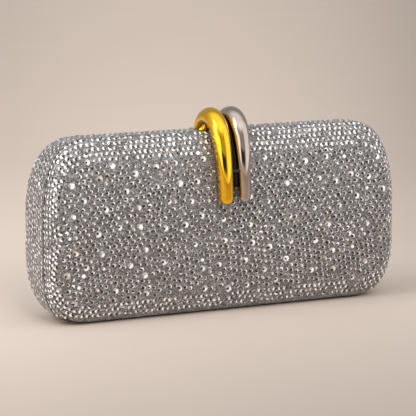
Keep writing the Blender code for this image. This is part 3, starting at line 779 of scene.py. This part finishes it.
def stone_shape():
    """A cut stone of radius 1 and height 1: an eight-sided girdle of two rings, a ring half a side
    on, a table ring and a low peak, closed underneath. Returns points, triangles and the middle of
    each triangle in X and Y."""
    points, triangles = [], []
    for radius, height, start in STONE_RINGS:
        angle = (np.arange(8) + start) * math.pi / 4
        points.append(np.stack([radius * np.cos(angle), radius * np.sin(angle), np.full(8, height)], axis=1))
    points = np.concatenate(points + [np.array([[0, 0, 1.0], [0, 0, -0.10]])])
    for i in range(8):
        j, h = (i + 1) % 8, (i - 1) % 8
        triangles += [(i, j, 8 + j), (i, 8 + j, 8 + i), (8 + i, 8 + j, 16 + i), (16 + i, 16 + h, 8 + i),
                      (16 + h, 16 + i, 24 + i), (16 + i, 24 + j, 24 + i), (24 + i, 24 + j, 32), (j, i, 33)]
    triangles = np.array(triangles)
    return points, triangles, points[triangles].mean(axis=1)[:, :2]


STONE_POINTS, STONE_TRIANGLES, FACET_PLACE = stone_shape()


def facet_tones(turn, clear):
    """The tone of every facet by its place on the stone: grey, with a painted warm reflection arc above,
    a painted dark spot to the left and a painted clear glint below right, swung by chance. Clear widens
    the painted glint. A few stones miss their painted spot, are dull, or are painted all white as a glint."""
    count = len(turn)
    swing = (turn + chance.normal(0, SWING, count))[:, None]
    u, v = turned(*FACET_PLACE.T, swing)

    def on(mark):
        reach = (mark["reach"] + mark["clearer"] * clear) * chance.uniform(*mark["sizes"], (count, 1))
        return np.hypot(u - mark["u"], v - mark["v"]) < reach

    tone = GREY + chance.normal(0, GREY_SPREAD, u.shape)
    # The arc, spot, glint and all-white stones are painted reflection, painted shade and painted highlight
    arc = np.where(chance.random(u.shape) < PAINTED_ARC_WARM_SHARE, PAINTED_ARC_WARM_TONE, PAINTED_ARC_PALE_TONE)
    tone = np.where((v > PAINTED_ARC_LOW) & (u > PAINTED_ARC_LEFT), arc, tone)
    tone = np.where(on(PAINTED_GLINT), PAINTED_GLINT_TONE, tone)
    tone = np.where(on(PAINTED_DARK_SPOT) & (chance.random((count, 1)) > SPOTLESS_SHARE), PAINTED_SPOT_TONE, tone)
    fate = chance.random((count, 1))
    tone = np.where((fate < DULL_SHARE) & (tone > DULLED_FROM), tone - DULLED, tone)
    tone = np.where((fate > PAINTED_WHITE_FROM) & (tone > PAINTED_WHITENED_FROM), PAINTED_WHITE_TONE, tone)
    return np.clip(tone, 0, 1)


def set_stones(name, places, outs, radii, height_share, clear, body):
    """All stones of a cluster as one mesh: each stone's points are its place + radius * (X across +
    Y up) + height * Z out, turned a little and tilted a little by chance."""
    count = len(places)
    outs = unit(outs + chance.normal(0, TILT, outs.shape))
    upwards = unit(STONE_TOP - outs * (outs @ STONE_TOP)[:, None])
    across = np.cross(upwards, outs)
    turn = chance.uniform(-math.pi / 8, math.pi / 8, count)
    x, y = turned(*STONE_POINTS.T[:2], turn[:, None])
    spread = radii[:, None, None]
    points = (places[:, None, :]
              + spread * (x[..., None] * across[:, None, :] + y[..., None] * upwards[:, None, :])
              + spread * height_share * STONE_POINTS[None, :, 2:] * outs[:, None, :])
    faces = STONE_TRIANGLES[None] + (np.arange(count) * len(STONE_POINTS))[:, None, None]
    piece = new_piece(name, points.reshape(-1, 3), faces.reshape(-1, 3), crystal, smooth=False)
    # Each facet's tone carries the painted glint, painted dark spot and painted reflection arc
    tone = piece.data.attributes.new("tone", "FLOAT", "FACE")
    tone.data.foreach_set("value", facet_tones(turn, clear).astype(np.float32).ravel())
    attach(piece, body)
    return piece


def set_crystals(label, side, body, row_count, large_count, uneven):
    """Large stones at random, rows along the seam and slanting rows over the face, a piece each."""
    rim, rim_out, line = seam_rows(side, FIRST_ROW + ROW_GAP * np.arange(row_count), ROW_PITCH)
    large, large_out = face_places(side, *scattered(line * LARGE_ZONE, large_count).T)
    kept = clear_of_fittings(side, large, LARGE_MARGIN)
    large, large_out = large[kept], large_out[kept]
    radii = LARGE_RADIUS * chance.uniform(*LARGE_SIZES, len(large))
    pieces = [set_stones(f"{label}_large_stones", large, large_out, radii, LARGE_HEIGHT, 1, body)]
    last_row = rim[-int(len(rim) / row_count * LAST_ROW_SHARE):]
    field = face_field(line, last_row[:, [0, 2]], uneven)
    for part, (places, outs) in (("rim", (rim, rim_out)), ("face", face_places(side, *field.T))):
        kept = clear_of_fittings(side, places, STONE_MARGIN)
        kept &= far_from(places, large, LARGE_ROOM)
        kept &= chance.random(len(places)) > LOST_SHARE
        places = places[kept] + chance.normal(0, STONE_JITTER, (kept.sum(), 3))
        radii = STONE_RADIUS * chance.uniform(*STONE_SIZES, kept.sum())
        pieces.append(set_stones(f"{label}_{part}_stones", places, outs[kept], radii,
                                 STONE_HEIGHT, 0, body))
    return pieces


def hoop_radius(hoop, angle):
    """Radius at an angle of the leg: tip + (crest - tip) * cos^2."""
    return hoop["tip_radius"] + (CREST_RADIUS - hoop["tip_radius"]) * np.cos(angle) ** 2


def hoop_middle(hoop, angle):
    """X of its middle: the room beside the clasp's middle opens by the tip's room * sin^2."""
    room = HALF_ROOM + hoop["tip_room"] * np.sin(angle) ** 2
    return CLASP_MIDDLE + hoop["sign"] * (room + hoop_radius(hoop, angle))


def hoop_line(hoop, end_angle=LEG_END_ANGLE):
    """X, Y, Z and radius of a hoop, from its foot over the crest down to an angle of the front: a
    quarter of an ellipse behind, then the front's section stood off by the radius, the clearance
    and a crest lift * cos^2, spaced evenly."""
    foot = math.acos(1 - (APEX_HEIGHT - HOOP_FOOT) / ARCH_RISE)
    behind = np.linspace(foot, 0, ARCH_STEPS)
    arch = np.stack([ARCH_REACH * np.sin(behind), APEX_HEIGHT - ARCH_RISE * (1 - np.cos(behind))], axis=1)
    ahead = np.linspace(0, end_angle, LEG_STEPS)[1:]
    depth, fall = FRONT["depth"], FRONT["face_round"]
    face = np.stack([-depth * np.sin(ahead), CASE_HEIGHT - fall * (1 - np.cos(ahead))], axis=1)
    out = unit(np.stack([-fall * np.sin(ahead), depth * np.cos(ahead)], axis=1))
    stand_off = hoop_radius(hoop, ahead) + HOOP_CLEARANCE + CREST_LIFT * np.cos(ahead) ** 2
    leg = face + out * stand_off[:, None]
    turn = np.concatenate([np.zeros(ARCH_STEPS), ahead])
    line = np.column_stack([hoop_middle(hoop, turn), np.concatenate([arch, leg]), hoop_radius(hoop, turn)])
    run = run_along(line[:, 1:3])
    stops = np.concatenate([[0], np.linspace(FOOT_RING, run[-1], HOOP_RINGS)])
    return resample(line, run, stops)


def web_piece(material):
    """The enamelled web: a bar along the middle of the two hoops' lines that fills their room but
    for a clearance, with rounded edges and closed ends, and flat at the height of the hoops' feet."""
    left, right = hoop_line(GOLD_HOOP, WEB_END_ANGLE), hoop_line(GUNMETAL_HOOP, WEB_END_ANGLE)
    line = (left[:, 1:3] + right[:, 1:3]) / 2
    way = unit(np.gradient(line, axis=0))
    low = left[:, 0] + left[:, 3] + WEB_CLEARANCE
    high = right[:, 0] - right[:, 3] - WEB_CLEARANCE
    turn = np.linspace(0, math.tau, WEB_SIDES, endpoint=False)
    size = np.ones(len(line))
    size[[0, -1]] = 0
    across, out = (np.sign(wave) * np.abs(wave) ** WEB_ROUNDING for wave in (np.cos(turn), np.sin(turn)))
    half, lift = (size * WEB_HALF_WIDTH)[:, None], out + WEB_SINK
    x = ((low + high) / 2)[:, None] + (size * (high - low) / 2)[:, None] * across
    y = line[:, :1] - way[:, 1:] * half * lift
    z = line[:, 1:] + way[:, :1] * half * lift
    grid = np.stack([x, y, z], axis=-1)
    head, tail = (grid[[k]] + np.array([0, *(line[i] - line[k])]) for k, i in ((1, 0), (-2, -1)))
    grid = np.concatenate([grid[:1], head, grid[1:-1], tail, grid[-1:]])
    behind = grid[..., 1] > 0
    grid[behind, 2] = np.maximum(grid[behind, 2], HOOP_FOOT)
    return sharp_edges(grid_piece("clasp_web_bar", grid + (0, PARTING, 0), material))


def hoop_piece(name, hoop, material):
    """A round bar: circles across the centre line, the first one slid along the bar onto the foot's
    plane, a half ball at the tip, and the seat of the magnet let into the foot."""
    line = hoop_line(hoop)
    seat_x, seat_y = np.mean(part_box(f"{name}_magnet"), axis=0)[:2] - (0, PARTING)
    way = unit(np.gradient(line[:, 1:3], axis=0))
    turn = np.linspace(0, math.tau, HOOP_SIDES, endpoint=False)
    swell = np.linspace(0, math.pi / 2, TIP_RINGS)[1:]
    tip, tip_way = line[-1], way[-1]
    ball = np.column_stack([np.full(len(swell), tip[0]),
                            tip[1:3] + tip_way * tip[3] * np.sin(swell)[:, None], tip[3] * np.cos(swell)])
    centres = np.concatenate([line, ball])
    ways = np.concatenate([way, np.repeat(tip_way[None], len(swell), axis=0)])
    radii = centres[:, 3:]
    x = centres[:, :1] + radii * np.cos(turn)
    y = centres[:, 1:2] - ways[:, 1:] * radii * np.sin(turn)
    z = centres[:, 2:3] + ways[:, :1] * radii * np.sin(turn)
    slide = (HOOP_FOOT - z[0]) / way[0, 1]
    y[0], z[0] = y[0] + slide * way[0, 0], HOOP_FOOT
    rings = [np.stack([x, y, z], axis=-1)]
    for radius, height in ((MAGNET_SEAT_RADIUS, 0), (MAGNET_SEAT_RADIUS, MAGNET_SEAT_DEPTH),
                           (0, MAGNET_SEAT_DEPTH)):
        ring = np.stack([seat_x + radius * np.cos(turn), seat_y - radius * np.sin(turn) * np.sign(way[0, 1]),
                         np.full_like(turn, HOOP_FOOT + height)], axis=-1)
        rings.insert(0, ring[None])
    return sharp_edges(grid_piece(f"{name}_bar", np.concatenate(rings) + (0, PARTING, 0), material))


def sharp_edges(piece):
    """Smooth shading that breaks where faces meet at a sharp angle."""
    bend = piece.modifiers.new("sharp edges", "EDGE_SPLIT")
    bend.split_angle = SHARP_ANGLE
    bend.use_edge_sharp = False
    return piece


def thin_sheet(name, front, back, material):
    """A closed thin piece from two grids of points, joined all round their border."""
    rows, columns = front.shape[:2]
    index = np.arange(rows * columns).reshape(rows, columns)
    corners = (index[:-1, :-1], index[:-1, 1:], index[1:, 1:], index[1:, :-1])
    face = np.stack(corners, axis=-1).reshape(-1, 4)
    border = np.concatenate([index[0, :-1], index[:-1, -1], index[-1, :0:-1], index[:0:-1, 0]])
    after = np.roll(border, -1)
    under = rows * columns
    rim = np.stack([border, border + under, after + under, after], axis=1)
    points = np.concatenate([front.reshape(-1, 3), back.reshape(-1, 3)])
    faces = np.concatenate([face, face[:, ::-1] + under, rim])
    return point_outwards(new_piece(name, points, faces, material))


def edge_roll(name, line, material):
    """A rolled cord of cloth along a line that runs near X: rings in Y and Z, closed at both ends."""
    turn = np.linspace(0, math.tau, CORD_SIDES, endpoint=False)
    round_end = np.sin(np.linspace(0, math.pi / 2, CORD_END_RINGS))
    size = np.ones(len(line))
    size[:CORD_END_RINGS], size[-CORD_END_RINGS:] = round_end, round_end[::-1]
    reach = CORD_RADIUS * size[:, None]
    y, z = line[:, 1:2] + reach * np.cos(turn), line[:, 2:3] + reach * np.sin(turn)
    return grid_piece(name, np.stack(np.broadcast_arrays(line[:, :1], y, z), axis=-1), material)


def slip_pocket():
    """A gathered satin pocket on the rear lining, and the roll along its top edge. The panel stands
    forward by sin(pi * across)^0.6 * up^0.7, has soft upright folds and dips a little at its top."""
    low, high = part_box("slip_pocket")
    across, up = np.linspace(0, 1, POCKET_COLUMNS)[None, :], np.linspace(0, 1, POCKET_ROWS)[:, None]
    arch = np.sin(math.pi * across)
    x = low[0] + (high[0] - low[0]) * across
    z = low[2] + (high[2] - low[2] - POCKET_TOP_ROOM - POCKET_DIP * arch ** 0.8) * up
    bulge = POCKET_BULGE * arch ** 0.6 * up ** 0.7
    folds = FOLD_HEIGHT * (1 + np.sin(across * FOLD_TURNS + 1.4 * np.sin(up * 3))) * arch * (0.25 + 0.75 * up)
    front = np.stack(np.broadcast_arrays(x, high[1] - POCKET_BACK - bulge - folds, z), axis=-1)
    panel = thin_sheet("satin_slip_pocket", front, front + (0, POCKET_WALL, 0), satin)
    return panel, edge_roll("pocket_edge_roll", front[-1] + CORD_SHIFT, satin)


def fit_out(piece, body, node):
    """Puts a piece on the body it rides on, and hides the node it stands for."""
    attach(piece, body)
    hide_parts(node)


studio_camera()
marks, weave = handling_marks(), satin_weave()
cloth, crystal = glitter_cloth(), cut_crystal()
gold, gunmetal, rim_metal, nickel = (worn_metal(marks, name, *looks) for name, looks in METALS.items())
enamel, satin, board = black_enamel(marks), lining_satin(weave), shell_board()

NODE_FINISHES = {
    "front_shell": board, "rear_shell": board, "front_frame": rim_metal, "rear_frame": rim_metal,
    "web_pin_upper": rim_metal, "web_pin_lower": rim_metal}
for name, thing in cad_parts.items():
    thing.data.materials.clear()
    thing.data.materials.append(NODE_FINISHES.get(name, nickel))

# Rows along the seam, large stones and unevenness of each half, and the cut of its cloth and lining
STONES = {"front": (5, 84, 0.0005), "rear": (12, 60, 0.0002)}
crystals = {label: set_crystals(label, side, body, *STONES[label]) for label, side, body in HALVES}
for label, side, body in HALVES:
    stations = even_stations(CLOTH_STEP, [-SADDLE_RIM, -SADDLE_HALF, SADDLE_HALF, SADDLE_RIM])
    cover = shell_piece(f"{label}_glitter_cloth", side, CLOTH_INSET, CLOTH_WALL, CLOTH_MOUTH,
                        cloth_opening(side), stations, CLOTH_ROWS, cloth, roll=turned_edge)
    fit_out(cover, body, f"{label}_crystal_cover")
    lining = shell_piece(f"{label}_satin_lining", side, LINING_INSET, LINING_WALL, LINING_MOUTH,
                         leaf_opening, even_stations(LINING_STEP), LINING_ROWS, satin, ripple=tucks)
    fit_out(lining, body, f"{label}_lining")

fit_out(hoop_piece("gold_hoop", GOLD_HOOP, gold), "front_case", "gold_hoop")
fit_out(hoop_piece("gunmetal_hoop", GUNMETAL_HOOP, gunmetal), "front_case", "gunmetal_hoop")
fit_out(web_piece(enamel), "front_case", "clasp_web")

pocket, pocket_roll = slip_pocket()
fit_out(pocket, "rear_case", "slip_pocket")
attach(pocket_roll, "rear_case")


def studio_floor():
    """A pale floor with painted shade: darker near the camera by the distance along the view, darker towards
    both far sides by the square of the slant from its middle line, and a little darker towards the right by the
    slant."""
    mesh = bpy.data.meshes.new("floor")
    mesh.from_pydata([(-6, -4, 0), (8, -4, 0), (8, 9, 0), (-6, 9, 0)], [], [(0, 1, 2, 3)])
    material, tree, shader = finish("studio_floor", {"Roughness": 0.7, "Specular IOR Level": 0.2})
    place = object_place(tree)
    away = reach_along(tree, place, AWAY)
    colour = ramp(tree, remap(tree, away, FLOOR_NEAR, FLOOR_FAR), FLOOR_PAINTED_SHADES)
    width = math_node(tree, "MAXIMUM", math_node(tree, "ADD", away, VIEW_START), VIEW_LEAST)
    slant = math_node(tree, "DIVIDE", reach_along(tree, place, ASIDE), width)
    slant = remap(tree, slant, -VIEW_SLANT, VIEW_SLANT, -1.0, 1.0)
    # Painted shade: the floor darkens towards both far sides and towards the right
    far = remap(tree, away, 0.0, SIDE_FALL_REACH, 0.0, SIDE_PAINTED_SHADE)
    fall = math_node(tree, "MULTIPLY", math_node(tree, "MULTIPLY", slant, slant), far)
    fall = math_node(tree, "ADD", fall, math_node(tree, "MULTIPLY", slant, RIGHT_PAINTED_SHADE))
    grain = remap(tree, noise(tree, place, 14.0, 6.0), 0.0, 1.0, 0.98, 1.02)
    shaded = put(tree, "VectorMath", {0: colour, "Scale": math_node(tree, "SUBTRACT", grain, fall)},
                 operation="SCALE").outputs["Vector"]
    paint(tree, shader, shaded)
    mesh.materials.append(material)
    linked("floor", mesh)


def studio_lamps():
    """A large softbox to the left of the camera, and a fill in front that the hoops don't mirror."""
    for name, turn, pitch, size, power in LAMPS:
        lamp = bpy.data.lights.new(name, "AREA")
        lamp.shape = "RECTANGLE"
        lamp.size, lamp.size_y = size
        lamp.energy = power
        holder = linked(name, lamp)
        holder.location = -LAMP_REACH * facing(turn, pitch)
        holder.rotation_mode = "QUATERNION"
        holder.rotation_quaternion = (-holder.location).to_track_quat("-Z", "Y")
        holder.visible_glossy = name != "front_fill"


def between(tree, value, low, high, soft):
    """1 between two limits and 0 outside them, with a soft step at each."""
    rise, fall = remap(tree, value, low - soft, low), remap(tree, value, high, high + soft, 1.0, 0.0)
    return math_node(tree, "MULTIPLY", rise, fall)


def studio_world():
    """A pale surround, warm low down, cooler above and dimmer behind, with four soft panels and one
    dark gap. Turns are radians to the right of the camera's side, heights the sine of elevation."""
    world = bpy.data.worlds.new("studio")
    bpy.context.scene.world = world
    world.use_nodes = True
    tree = world.node_tree
    way = put(tree, "TexCoord").outputs["Generated"]
    height = put(tree, "SeparateXYZ", {"Vector": way}).outputs["Z"]
    ahead = reach_along(tree, way, TOWARDS)
    turn = math_node(tree, "ARCTAN2", reach_along(tree, way, ASIDE), ahead)
    light = blend(tree, remap(tree, ahead, -0.05, -0.5), ramp(tree, height, SURROUND_SHADES), BEHIND_SHADE)
    for turns, heights, colour in PANELS:
        panel = math_node(tree, "MULTIPLY", between(tree, turn, *turns), between(tree, height, *heights))
        light = blend(tree, panel, light, colour)
    background = tree.nodes["Background"]
    tree.links.new(light, background.inputs["Color"])
    background.inputs["Strength"].default_value = SURROUND_STRENGTH


studio_floor()
studio_lamps()
studio_world()
bpy.context.scene.view_settings.view_transform = "Standard"
